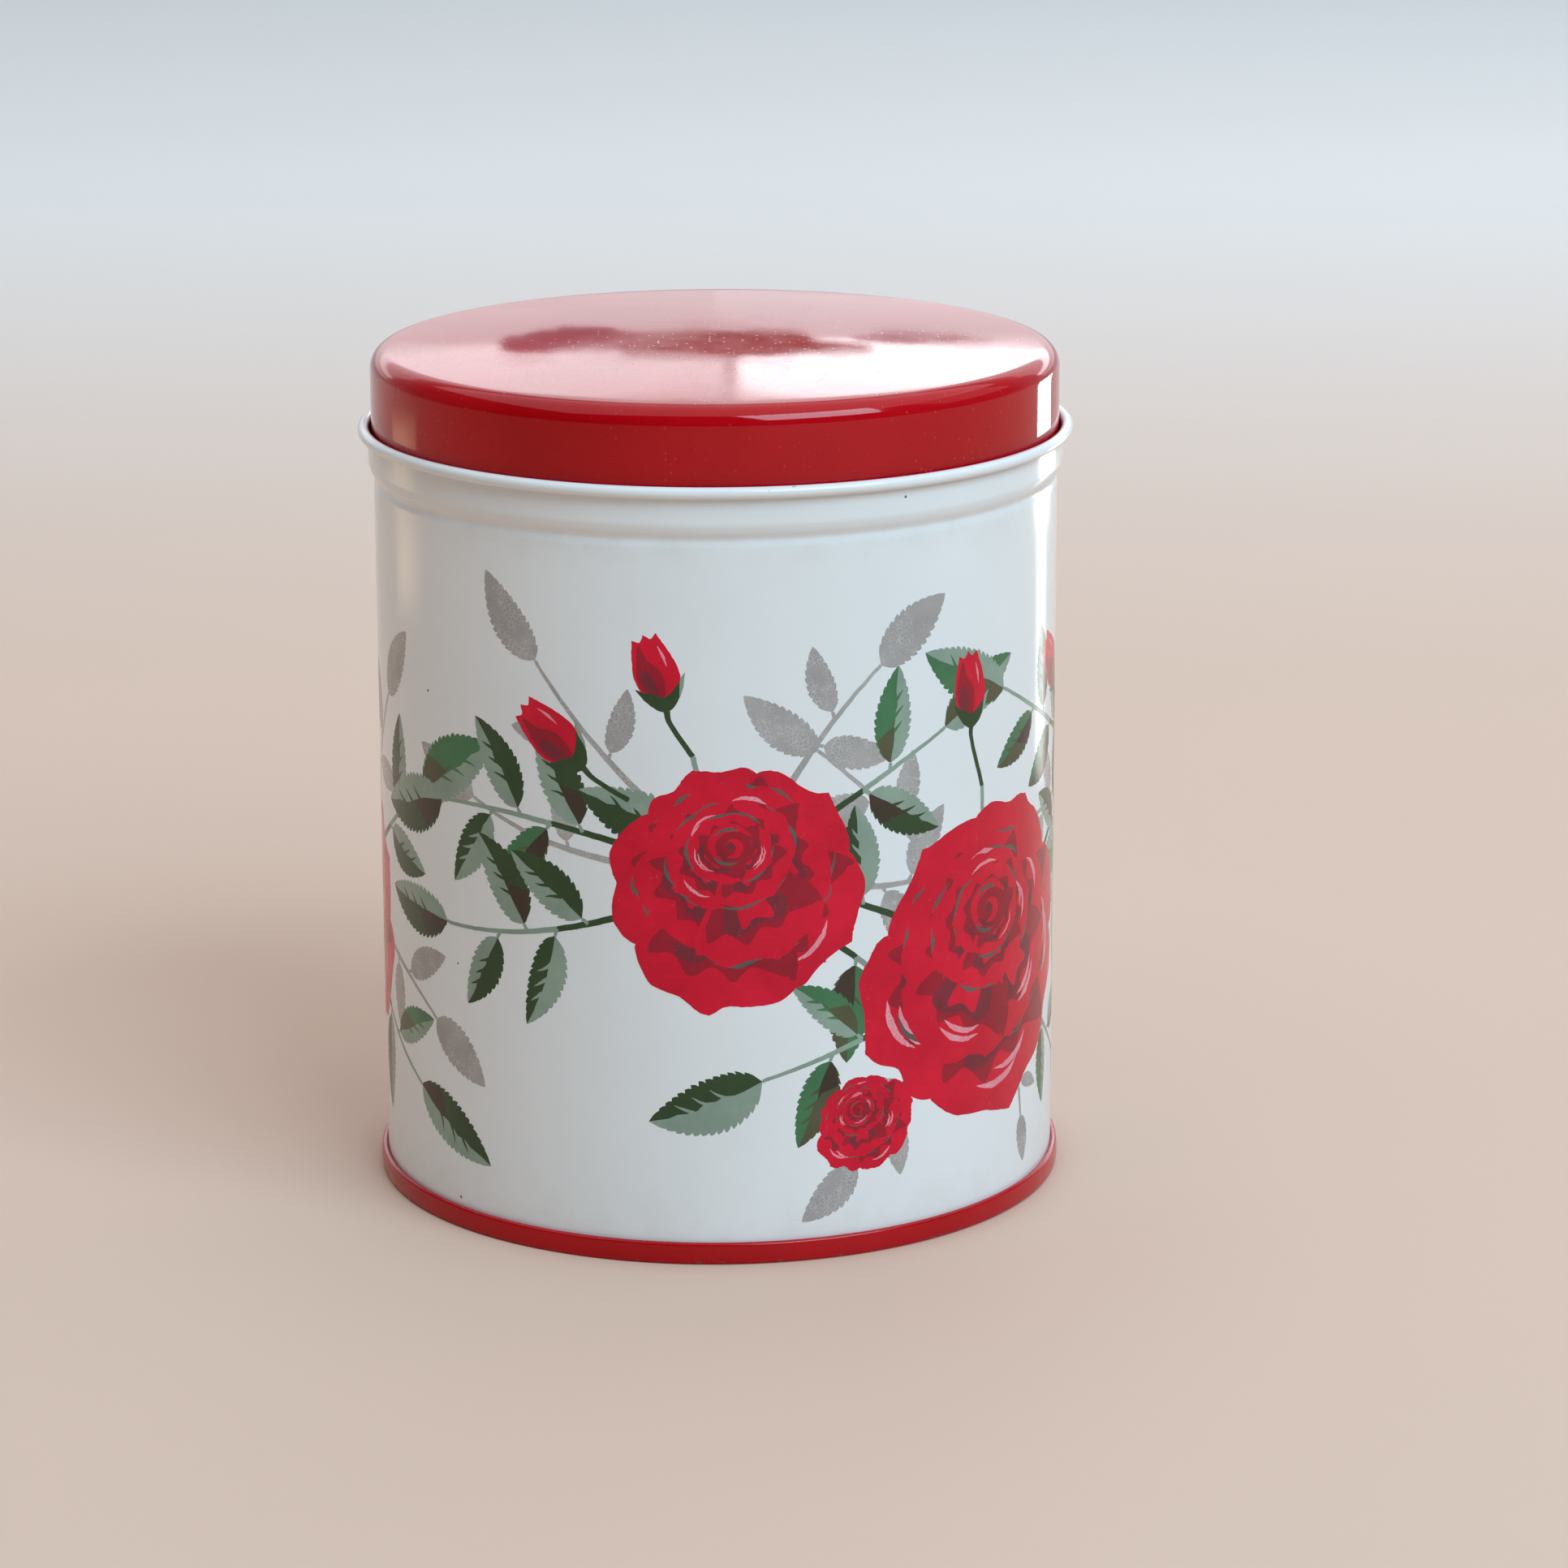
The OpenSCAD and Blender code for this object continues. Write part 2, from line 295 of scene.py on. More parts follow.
def draw_print():
    """Roses at uneven steps round the tin, each with leaves fanned out behind it, buds above, and a small flower below
    every second one. Nothing is drawn within 7 mm of the side seam at u = +-219.9."""
    SHAPES.clear()
    rnd = random.Random(1907)
    flowers = [(-182, 78, 22), (-118, 60, 27), (3, 80, 23), (63, 58, 30), (128, 84, 21), (180, 60, 25)]
    # grey shadow leaves first, then coloured leaves, then flowers, so the flowers lie on top
    fans = []
    for i, (u, z, R) in enumerate(flowers):
        left = 1 if i % 2 == 0 else 0
        fans += [(u, z, R, 158 + rnd.uniform(-8, 8), 2), (u, z, R, 203 + rnd.uniform(-8, 8), 2 if left else 1),
                 (u, z, R, 24 + rnd.uniform(-8, 8), 1), (u, z, R, 322 + rnd.uniform(-8, 8), 1)]
    k = 100
    for u, z, R, a, pairs in fans:
        k += 1
        b = a + rnd.choice((-27, 27))
        c, s, curl = math.cos(math.radians(b)), math.sin(math.radians(b)), rnd.uniform(-22, 22)
        fitted(lambda f: Pen(seed=k).sprig((u + c * R * 0.8, z + s * R * 0.8), b, (24 + 7 * pairs) * f, 1, 18.5 * f, SHADOW,
                                           ["grey"], curl))
    for u, z, R, a, pairs in fans:
        k += 1
        c, s, curl = math.cos(math.radians(a)), math.sin(math.radians(a)), rnd.uniform(-24, 24)
        fitted(lambda f: Pen(seed=k).sprig((u + c * R * 0.75, z + s * R * 0.75), a, (19 + 15 * pairs) * f, pairs, 23.5 * f,
                                           LEAVES, ["dark", "sage"], curl))
    for i, (u, z, R) in enumerate(flowers):
        k += 2
        lean = 100 + rnd.uniform(-6, 12)
        for j, (da, far) in enumerate(((0, 1.62), (34, 1.66))):
            a = lean + da
            c, s = math.cos(math.radians(a)), math.sin(math.radians(a))
            if any(math.dist((u + c * R * far, z + s * R * far), (x, y)) < r + 9 for x, y, r in flowers if x != u):
                continue
            fitted(lambda f: Pen(seed=k + j).bud((u + c * R * far * (0.4 + 0.6 * f), z + s * R * far * (0.4 + 0.6 * f)), a - 4,
                                                 (14 + 2 * j) * f, (9 + j) * f, (u + c * R * 0.7, z + s * R * 0.7)))
        if i % 2:
            a = math.radians(222)
            q = (u + math.cos(a) * R * 1.5, z + math.sin(a) * R * 1.5)
            p = Pen(at=q, turn=rnd.uniform(-30, 30), seed=k + 60)
            Pen(seed=k + 7).stroke("dark", [q, (q[0] + 6, q[1] + 3), (u - R * 0.5, z - R * 0.5)], [1.4, 1.2, 1.2])
            p.rose(9.5)
        Pen(at=(u, z), turn=rnd.uniform(-14, 14), seed=k + 40).rose(R)
    return list(SHAPES)


# ---------------------------------------------------------------- lathed sheet metal
def arc(cx, cy, r, a0, a1, n):
    return [(cx + r * math.cos(math.radians(a0 + (a1 - a0) * i / n)),
             cy + r * math.sin(math.radians(a0 + (a1 - a0) * i / n))) for i in range(n + 1)]


def ease(x):
    return 0.0 if x <= 0 else 1.0 if x >= 1 else x * x * (3 - 2 * x)


def hump(x):
    return 0.0 if x <= 0 or x >= 1 else math.sin(math.pi * x) ** 2


def tidy(p):
    out = [p[0]]
    for q in p[1:]:
        if math.dist(q, out[-1]) > 0.005:
            out.append(q)
    return out


def side(p, d):
    """The path moved sideways by d, with mitred corners, and never past the axis."""
    out = []
    for i in range(len(p)):
        def unit(a, b):
            n = math.dist(a, b)
            return ((b[0] - a[0]) / n, (b[1] - a[1]) / n)
        u = unit(p[0], p[1]) if i == 0 else unit(p[i - 1], p[i])
        v = u if i == len(p) - 1 else unit(p[i], p[i + 1])
        w = (u[0] + v[0], u[1] + v[1])
        n = math.hypot(*w)
        w = (w[0] / n, w[1] / n)
        k = d / (w[0] * u[0] + w[1] * u[1])
        out.append((0.0 if p[i][0] < 0.01 else p[i][0] - w[1] * k, p[i][1] + w[0] * k))
    return out


def rounded_sheet(path, t):
    """Both faces of a sheet round its middle line: (side one, side two), each from the path's start to its end."""
    q = tidy(path)
    return side(q, t / 2), side(q, -t / 2)


COLUMNS = [float(i) for i in range(-180, 180)]


def lathe(name, path, t, mats, inside, columns=COLUMNS, dent=None):
    """A turned sheet. inside is the number, 1 or 2, of the face that gets the second material."""
    a, b = rounded_sheet(path, t)
    ring = a + b[::-1]
    na = len(a)
    verts, faces, index, where = [], [], [], []
    m = len(columns)
    for r, z in ring:
        if r < 0.01:
            where.append([len(verts)] * m)
            verts.append((0.0, 0.0, z * MM))
            continue
        row = []
        for c in columns:
            rr = r + (dent(c, r, z) if dent else 0.0)
            th = math.radians(c)
            row.append(len(verts))
            verts.append((rr * math.sin(th) * MM, -rr * math.cos(th) * MM, z * MM))
        where.append(row)
    n = len(ring)
    for i in range(n):
        p, q = where[i], where[(i + 1) % n]
        if p[0] == p[1] and q[0] == q[1]:
            continue
        first = i < na - 1
        second = i >= na and i < n - 1
        is_in = (inside == 1 and first) or (inside == 2 and second)
        for k in range(m):
            k2 = (k + 1) % m
            f = [p[k], p[k2], q[k2], q[k]]
            f = [v for j, v in enumerate(f) if v != f[j - 1]]
            if len(f) > 2:
                faces.append(f[::-1])
                index.append(1 if is_in else 0)
    mesh = bpy.data.meshes.new(name)
    mesh.from_pydata(verts, [], faces)
    mesh.polygons.foreach_set("material_index", index)
    mesh.polygons.foreach_set("use_smooth", [True] * len(faces))
    for mt in mats:
        mesh.materials.append(mt)
    mesh.validate(verbose=False)
    mesh.update()
    outward(mesh)
    mesh.set_sharp_from_angle(angle=math.radians(38))
    obj = bpy.data.objects.new(name, mesh)
    bpy.context.scene.collection.objects.link(obj)
    return obj


def outward(mesh):
    """Turns the mesh right side out if its signed volume is negative."""
    mesh.calc_loop_triangles()
    co = np.array([v.co[:] for v in mesh.vertices])
    tri = np.array([t.vertices[:] for t in mesh.loop_triangles])
    a, b, c = co[tri[:, 0]], co[tri[:, 1]], co[tri[:, 2]]
    if np.einsum("ij,ij->i", a, np.cross(b, c)).sum() < 0:
        mesh.flip_normals()


# ---------------------------------------------------------------- materials
class Nodes:
    """Short names for building a node tree."""

    def __init__(self, name):
        self.mat = bpy.data.materials.new(name)
        self.mat.use_nodes = True
        self.t = self.mat.node_tree
        self.bsdf = self.t.nodes["Principled BSDF"]
        self.co = self.t.nodes.new("ShaderNodeTexCoord").outputs["Object"]
        self.geo = self.t.nodes.new("ShaderNodeNewGeometry")

    def link(self, a, b):
        self.t.links.new(a, b)
        return b

    def put(self, socket, v):
        if isinstance(v, (int, float)):
            socket.default_value = v
        elif isinstance(v, (tuple, list)):
            socket.default_value = tuple(v) + (1.0,) * (len(socket.default_value) - len(v))
        else:
            self.link(v, socket)

    def scaled(self, x, y, z, spin=(0, 0, 0)):
        n = self.t.nodes.new("ShaderNodeMapping")
        n.inputs["Scale"].default_value = (x, y, z)
        n.inputs["Location"].default_value = spin
        self.link(self.co, n.inputs["Vector"])
        return n.outputs[0]

    def noise(self, scale, detail=3.0, rough=0.55, at=None, distort=0.0):
        n = self.t.nodes.new("ShaderNodeTexNoise")
        n.inputs["Scale"].default_value = scale
        n.inputs["Detail"].default_value = detail
        n.inputs["Roughness"].default_value = rough
        n.inputs["Distortion"].default_value = distort
        self.link(at or self.co, n.inputs["Vector"])
        return n.outputs["Fac"]

    def voronoi(self, scale, feature="F1", rand=1.0, at=None):
        n = self.t.nodes.new("ShaderNodeTexVoronoi")
        n.feature = feature
        n.inputs["Scale"].default_value = scale
        n.inputs["Randomness"].default_value = rand
        self.link(at or self.co, n.inputs["Vector"])
        return n

    def ramp(self, fac, lo, hi, a=0.0, b=1.0):
        n = self.t.nodes.new("ShaderNodeMapRange")
        n.interpolation_type = "SMOOTHSTEP"
        for k, v in (("From Min", lo), ("From Max", hi), ("To Min", a), ("To Max", b)):
            n.inputs[k].default_value = v
        self.put(n.inputs["Value"], fac)
        return n.outputs["Result"]

    def math(self, op, a, b=0.0, c=0.0):
        n = self.t.nodes.new("ShaderNodeMath")
        n.operation = op
        for i, v in enumerate((a, b, c)):
            self.put(n.inputs[i], v)
        return n.outputs[0]

    def mix(self, fac, a, b):
        n = self.t.nodes.new("ShaderNodeMix")
        n.data_type = "RGBA"
        self.put(n.inputs["Factor"], fac)
        self.put([s for s in n.inputs if s.name == "A" and s.type == "RGBA"][0], a)
        self.put([s for s in n.inputs if s.name == "B" and s.type == "RGBA"][0], b)
        return [s for s in n.outputs if s.type == "RGBA"][0]

    def axis(self, which, of=None):
        n = self.t.nodes.new("ShaderNodeSeparateXYZ")
        self.link(of or self.co, n.inputs[0])
        return n.outputs[which]

    def bump(self, height, distance, strength=1.0, under=None):
        n = self.t.nodes.new("ShaderNodeBump")
        n.inputs["Distance"].default_value = distance
        n.inputs["Strength"].default_value = strength
        self.link(height, n.inputs["Height"])
        if under is not None:
            self.link(under, n.inputs["Normal"])
        return n.outputs[0]

    def done(self, color, rough, normal=None, metallic=0.0, coat=0.0, coat_rough=0.03, ior=1.5):
        b = self.bsdf.inputs
        self.put(b["Base Color"], color)
        self.put(b["Roughness"], rough)
        b["Metallic"].default_value = metallic
        b["Coat Weight"].default_value = coat
        b["Coat Roughness"].default_value = coat_rough
        b["IOR"].default_value = ior
        if normal is not None:
            self.link(normal, b["Normal"])
            self.link(normal, b["Coat Normal"])
        return self.mat


def film_bump(n, waves=0.00004, peel=0.0000022):
    """Rolled sheet is never quite true, and a stoved film dries with a faint orange peel."""
    slow = n.bump(n.noise(26.0, 2.0, 0.5, n.scaled(1, 1, 0.35)), waves)
    return n.bump(n.noise(1500.0, 2.0, 0.5), peel, 1.0, slow)


def enamel():
    n = Nodes("white_enamel")
    z = n.axis("Z")
    tone = n.ramp(n.noise(14.0, 4.0), 0.3, 0.72)
    col = n.mix(tone, (0.750, 0.782, 0.788), (0.795, 0.828, 0.838))
    # painted shade: a mottled brownish darkening under the step and above the bottom seam, where shade falls
    low = n.ramp(z, 0.0046, 0.020, 1.0, 0.0)
    high = n.math("MULTIPLY", n.ramp(z, 0.138, 0.1475), n.ramp(z, 0.149, 0.1475))
    painted_shade = n.math("MULTIPLY", n.math("MAXIMUM", low, high), n.ramp(n.noise(120.0, 5.0, 0.65), 0.35, 0.75, 0.0, 0.13))
    col = n.mix(painted_shade, col, (0.42, 0.36, 0.29))
    # pin-prick specks
    v = n.voronoi(190.0)
    keep = n.ramp(n.axis("X", v.outputs["Color"]), 0.955, 0.958)
    speck = n.math("MULTIPLY", n.ramp(v.outputs["Distance"], 0.085, 0.05), keep)
    col = n.mix(speck, col, (0.10, 0.075, 0.06))
    # rubs and small chips on the roll of the rim
    chips = n.math("MULTIPLY", n.ramp(n.noise(420.0, 4.0, 0.6), 0.685, 0.70), n.ramp(z, 0.1570, 0.1584))
    rub = n.math("MULTIPLY", n.ramp(n.noise(60.0, 4.0, 0.6), 0.45, 0.75), n.ramp(z, 0.1562, 0.1584, 0.0, 0.12))
    col = n.mix(rub, col, (0.58, 0.56, 0.52))
    col = n.mix(chips, col, (0.20, 0.19, 0.18))
    smear = n.noise(34.0, 5.0, 0.62, n.scaled(1, 1, 0.5), 0.6)
    # the band of painted shade is also made rougher, like the chips
    rough = n.math("ADD", n.ramp(smear, 0.42, 0.78, 0.13, 0.25), n.math("MULTIPLY", n.math("MAXIMUM", chips, painted_shade), 0.35))
    return n.done(col, rough, film_bump(n), ior=1.45)


def lacquer(name, top):
    n = Nodes(name)
    z = n.axis("Z")
    tone = n.ramp(n.noise(18.0, 4.0, 0.6), 0.3, 0.72)
    col = n.mix(tone, (0.385, 0.0022, 0.0060), (0.475, 0.0036, 0.0095))
    v = n.voronoi(1050.0)
    pick = n.axis("X", v.outputs["Color"])
    if top:
        up = n.ramp(n.axis("Z", n.geo.outputs["Normal"]), 0.80, 0.98)
        patch = n.ramp(n.noise(22.0, 4.0, 0.6), 0.36, 0.70)
        thick = n.math("ADD", n.math("MULTIPLY", up, 0.75), 0.08)
        grain = n.math("MULTIPLY", n.ramp(v.outputs["Distance"], 0.34, 0.16), n.ramp(pick, 0.86, 0.90))
        dust = n.math("MULTIPLY", n.math("MULTIPLY", grain, patch), thick)
        haze = n.math("MULTIPLY", n.math("MULTIPLY", patch, up), n.ramp(n.noise(160.0, 5.0, 0.7), 0.3, 0.8, 0.03, 0.13))
        col = n.mix(haze, col, (0.60, 0.44, 0.40))
        col = n.mix(dust, col, (0.80, 0.68, 0.60))
        edge = n.ramp(z, 0.1500, 0.1486)
        rough = n.math("ADD", n.ramp(patch, 0.0, 1.0, 0.05, 0.11), n.math("MULTIPLY", dust, 0.5))
    else:
        edge = n.math("MAXIMUM", n.ramp(z, 0.0010, 0.0001), n.ramp(z, 0.0041, 0.0046, 0.0, 0.55))
        rough = n.ramp(n.noise(80.0, 5.0, 0.65), 0.3, 0.8, 0.12, 0.34)
    wear = n.math("MULTIPLY", n.ramp(n.noise(380.0, 5.0, 0.65), 0.58, 0.64), edge)
    col = n.mix(n.math("MULTIPLY", wear, 0.8), col, (0.16, 0.10, 0.09))
    return n.done(col, rough, film_bump(n, 0.00005, 0.0000025), ior=1.44)


def tinplate():
    """The inside: bright tinplate under a thin gold lacquer, with the faint grain of the rolling mill."""
    n = Nodes("gold_lacquered_tinplate")
    grain = n.noise(900.0, 4.0, 0.6, n.scaled(1, 1, 0.03))
    spangle = n.ramp(n.noise(70.0, 4.0, 0.6), 0.3, 0.7)
    col = n.mix(spangle, (0.56, 0.45, 0.27), (0.66, 0.55, 0.35))
    col = n.mix(n.ramp(n.noise(260.0, 5.0, 0.7), 0.66, 0.74, 0.0, 0.45), col, (0.36, 0.25, 0.14))
    rough = n.math("ADD", n.ramp(grain, 0.3, 0.7, 0.24, 0.36), n.math("MULTIPLY", spangle, 0.06))
    return n.done(col, rough, n.bump(grain, 0.000004), metallic=1.0)


def compound():
    n = Nodes("lining_compound")
    col = n.mix(n.ramp(n.noise(300.0, 4.0), 0.3, 0.7), (0.060, 0.060, 0.063), (0.105, 0.104, 0.104))
    return n.done(col, n.ramp(n.noise(700.0, 3.0), 0.3, 0.7, 0.62, 0.82), n.bump(n.noise(1100.0, 4.0), 0.00003))


INKS = {"crimson": (0.64, 0.0025, 0.0290), "deep": (0.330, 0.0085, 0.0250), "maroon": (0.195, 0.020, 0.034),
        "slate": (0.110, 0.100, 0.088), "pink": (0.80, 0.24, 0.30), "sage": (0.255, 0.345, 0.280),
        "green": (0.055, 0.180, 0.080), "dark": (0.030, 0.066, 0.026), "brown": (0.050, 0.036, 0.024),
        "olive": (0.085, 0.090, 0.045), "grey": (0.37, 0.355, 0.345)}


def ink(name):
    """A flat printing ink: cloudy where the film is uneven, pricked where it missed, under the same varnish."""
    c = INKS[name]
    n = Nodes("ink_" + name)
    cloud = n.ramp(n.noise(75.0, 5.0, 0.65), 0.28, 0.75)
    col = n.mix(cloud, tuple(v * 0.86 for v in c), tuple(min(1.0, v * 1.10 + 0.002) for v in c))
    fleck = n.ramp(n.noise(1300.0, 2.0, 0.5), 0.70, 0.76, 0.0, 0.35)
    col = n.mix(fleck, col, tuple(0.55 * v + 0.14 for v in c))
    if name in ("grey", "pink"):
        # a dry, thin ink that lets a fine net of the white ground through
        net = n.voronoi(1350.0, "DISTANCE_TO_EDGE")
        gap = n.math("MULTIPLY", n.ramp(net.outputs["Distance"], 0.11, 0.04), n.ramp(n.noise(240.0, 3.0), 0.38, 0.62, 0.05, 0.5))
        col = n.mix(gap, col, (0.60, 0.59, 0.575))
    rough = n.ramp(n.noise(120.0, 4.0, 0.6), 0.35, 0.75, 0.15, 0.27)
    return n.done(col, rough, film_bump(n), ior=1.45)


# ---------------------------------------------------------------- the tin
def body_path():
    def r(z):
        return 69.85 + 1.1 * ease((z - 147) / 4) - 0.25 * hump((z - 145.6) / 3.6)
    rows = [3.0, 5.5, 5.56] + [10 + 7.5 * i for i in range(18)] + [144.94, 145.0]
    p = [(70.55, 3.30)] + arc(70.2, 1.25, 0.35, 0, -180, 12) + [(69.85, z) for z in rows]
    p += [(r(145.6 + 0.12 * i), 145.6 + 0.12 * i) for i in range(46)]
    p += [(70.95, 152.6), (70.95, 154.8)] + arc(71.975, 157.1, 1.025, 180, -135, 44)
    return p


def end_path():
    p = [(0.0, 3.65), (12.0, 3.65), (30.0, 3.65), (44.0, 3.65)]
    p += [(50.0 + 5 * i / 24, 3.65 - 0.8 * hump(i / 24)) for i in range(25)]
    p += [(64.5 - 0.0 + 2 * i / 16, 3.65 + 0.8 * ease(i / 16)) for i in range(17)]
    p += arc(68.65, 3.55, 0.9, 90, 0, 10) + arc(70.05, 0.65, 0.5, 180, 270, 10) + arc(70.65, 0.65, 0.5, 270, 360, 10)
    p += [(71.15 + 0.12 * (1 - ((2 * z - 4.5) / 3.2) ** 2), z) for z in (0.65 + 3.2 * i / 16 for i in range(1, 16))]
    p += arc(70.65, 3.85, 0.5, 0, 180, 16) + [(70.15, 1.75)]
    return p


def lid_path():
    lid_r, corner_z, dome = 70.36, 169.6, 1.8
    in_r = lid_r - 4.0
    tilt = 2 * math.atan(dome / (in_r + 4 * math.sin(2 * math.atan(dome / in_r))))
    edge = in_r + 4 * math.sin(tilt)
    dome_r = edge / math.sin(tilt) - 0.15
    dome_z = corner_z + 4 * math.cos(tilt) + dome - dome_r - 0.15
    deg = math.degrees(tilt)
    mid = lid_r - 0.15
    hem_c = mid - 0.65
    face, hem_z = None, 0.0
    for i in range(131):
        z = 145 + 0.05 * i
        def r(v):
            return 69.85 + 1.1 * ease((v - 147) / 4) - 0.25 * hump((v - 145.6) / 3.6)
        slope = (r(z + 0.05) - r(z - 0.05)) / 0.1
        off = r(z) - 0.15 * math.sqrt(1 + slope * slope) - hem_c
        if abs(off) < 0.86:
            hem_z = max(hem_z, z + math.sqrt(0.86 ** 2 - off * off))
    p = [(0.0, dome_z + dome_r)] + arc(0, dome_z, dome_r, 90 - deg / 28, 90 - deg, 27)
    p += arc(in_r, corner_z, 3.85, 90 - deg, 0, 26) + [(mid, 166.0), (mid, 160.0), (mid, 154.0)]
    p += arc(hem_c, hem_z, 0.65, 0, -300, 32)
    return p


def groove(c, r, z):
    """The line the fold leaves outside, beside the seam."""
    x = 70.0 * math.sin(math.radians(c))
    if r > 69.9 and math.cos(math.radians(c)) < 0 and 1.84 < x < 2.26 and 5.53 < z < 144.97:
        return -0.15
    return 0.0


WHITE, GOLD = enamel(), tinplate()
RED_LID, RED_END = lacquer("red_lacquer_lid", True), lacquer("red_lacquer_end", False)

cols = [c for c in COLUMNS if not 178.0 < c < 179.0]
cols = sorted(cols + [178.12, 178.158, 178.30, 178.486, 178.52])
body = lathe("body", body_path(), 0.3, [WHITE], 0, cols, groove)
end = lathe("bottom", end_path(), 0.3, [RED_END, GOLD], 1)
lid = lathe("lid_shell", lid_path(), 0.3, [RED_LID, GOLD], 2)


def side_fold():
    """The folded layers of the side seam, standing inside the wall, with their long edges rounded over."""
    prof = []
    for x, d in ((-2.25, 0.0), (-2.25, 0.62), (-2.20, 0.80), (-2.06, 0.88), (-1.90, 0.90), (-0.6, 0.90), (0.6, 0.90),
                 (1.90, 0.90), (2.06, 0.88), (2.20, 0.80), (2.25, 0.62), (2.25, 0.0)):
        prof.append((x, math.sqrt(69.76 ** 2 - x * x) - d))
    zs = [5.5 + 139.5 * i / 24 for i in range(25)]
    verts = [(x * MM, y * MM, z * MM) for z in zs for x, y in prof]
    n, faces = len(prof), []
    for k in range(len(zs) - 1):
        for i in range(n):
            j = (i + 1) % n
            faces.append([k * n + i, k * n + j, (k + 1) * n + j, (k + 1) * n + i])
    faces += [list(range(n))[::-1], [(len(zs) - 1) * n + i for i in range(n)]]
    mesh = bpy.data.meshes.new("side_fold")
    mesh.from_pydata(verts, [], faces)
    mesh.polygons.foreach_set("use_smooth", [True] * len(faces))
    mesh.materials.append(WHITE)
    mesh.update()
    outward(mesh)
    mesh.set_sharp_from_angle(angle=math.radians(38))
    obj = bpy.data.objects.new("side_fold", mesh)
    bpy.context.scene.collection.objects.link(obj)
    return obj


fold = side_fold()
for o, who, what, node in ((body, "tin", "white_enamel", "body_shell"), (end, "tin", "red_lacquer", "bottom_end"),
                           (lid, "lid", "red_lacquer", "lid")):
    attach(o, who)
    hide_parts(node)
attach(fold, "tin")

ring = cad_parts["seam_compound"]
grey = compound()
for s in ring.material_slots:
    s.link = "OBJECT"
    s.material = grey


# ---------------------------------------------------------------- the print as a thin inlay, one piece for each ink
def cut(pts, edges):
    """Triangles that keep to the edges, turned one way round, with slivers left out."""
    v, _, f, _, _, _ = delaunay_2d_cdt([Vector(p) for p in pts], edges, [], 0, 1e-5, False)
    v = np.array([p[:] for p in v])
    f = np.array([t for t in f if len(t) == 3])
    a, b, c = v[f[:, 0]], v[f[:, 1]], v[f[:, 2]]
    area = 0.5 * ((b[:, 0] - a[:, 0]) * (c[:, 1] - a[:, 1]) - (b[:, 1] - a[:, 1]) * (c[:, 0] - a[:, 0]))
    return v, np.where((area < 0)[:, None], f[:, ::-1], f)[np.abs(area) > 1e-7]


def topmost(v, f, shapes):
    """For each triangle, the number of the topmost shape at its middle, or -1."""
    mid = v[f].mean(axis=1)
    owner = np.full(len(f), -1)
    for k in range(len(shapes) - 1, -1, -1):
        q = np.array(shapes[k][1])
        lo, hi = q.min(0), q.max(0)
        near = np.nonzero((owner < 0) & (mid[:, 0] >= lo[0]) & (mid[:, 0] <= hi[0]) & (mid[:, 1] >= lo[1]) & (mid[:, 1] <= hi[1]))[0]
        if not len(near):
            continue
        m = mid[near]
        p0, p1 = q, np.roll(q, -1, axis=0)
        cross = (p1[:, 0] - p0[:, 0])[None] * (m[:, 1][:, None] - p0[:, 1][None]) - (m[:, 0][:, None] - p0[:, 0][None]) * (p1[:, 1] - p0[:, 1])[None]
        up = (p0[:, 1][None] <= m[:, 1][:, None]) & (p1[:, 1][None] > m[:, 1][:, None]) & (cross > 0)
        down = (p0[:, 1][None] > m[:, 1][:, None]) & (p1[:, 1][None] <= m[:, 1][:, None]) & (cross < 0)
        owner[near[(up.sum(1) - down.sum(1)) != 0]] = k
    return owner


def mosaic(shapes, r=70.0, step=2.0):
    """Cuts the overlapping shapes into triangles that each belong to the topmost shape there."""
    pts, edges = [], []
    for _, poly in shapes:
        p = [poly[0]]
        for q in poly[1:]:
            if math.dist(q, p[-1]) > 0.03:
                p.append(q)
        k = len(pts)
        pts += p
        edges += [(k + i, k + (i + 1) % len(p)) for i in range(len(p))]
    v, f = cut(pts, edges)
    # only the lines where the ink changes are kept, so what other shapes hide leaves no cuts
    names = [s[0] for s in shapes]
    code = np.array([list(INKS).index(n) for n in names] + [-1])
    tag = np.tile(code[topmost(v, f, shapes)], 3)
    e = np.sort(np.concatenate([f[:, [0, 1]], f[:, [1, 2]], f[:, [2, 0]]]), axis=1)
    order = np.lexsort((e[:, 1], e[:, 0]))
    e, tag = e[order], tag[order]
    same = np.all(e[1:] == e[:-1], axis=1)
    alone = ~np.append(same, False) & ~np.insert(same, 0, False) & (tag >= 0)
    e = np.concatenate([e[:-1][same & (tag[1:] != tag[:-1])], e[alone]])
    used, e = np.unique(e, return_inverse=True)
    pts, edges = [tuple(p) for p in v[used].tolist()], [tuple(p) for p in e.reshape(-1, 2).tolist()]
    for c in range(int(-176 / step), int(176 / step) + 1):
        u = math.radians(c * step) * r
        edges.append((len(pts), len(pts) + 1))
        pts += [(u, 4.0), (u, 146.0)]
    v, f = cut(pts, edges)
    return v, f, topmost(v, f, shapes), names


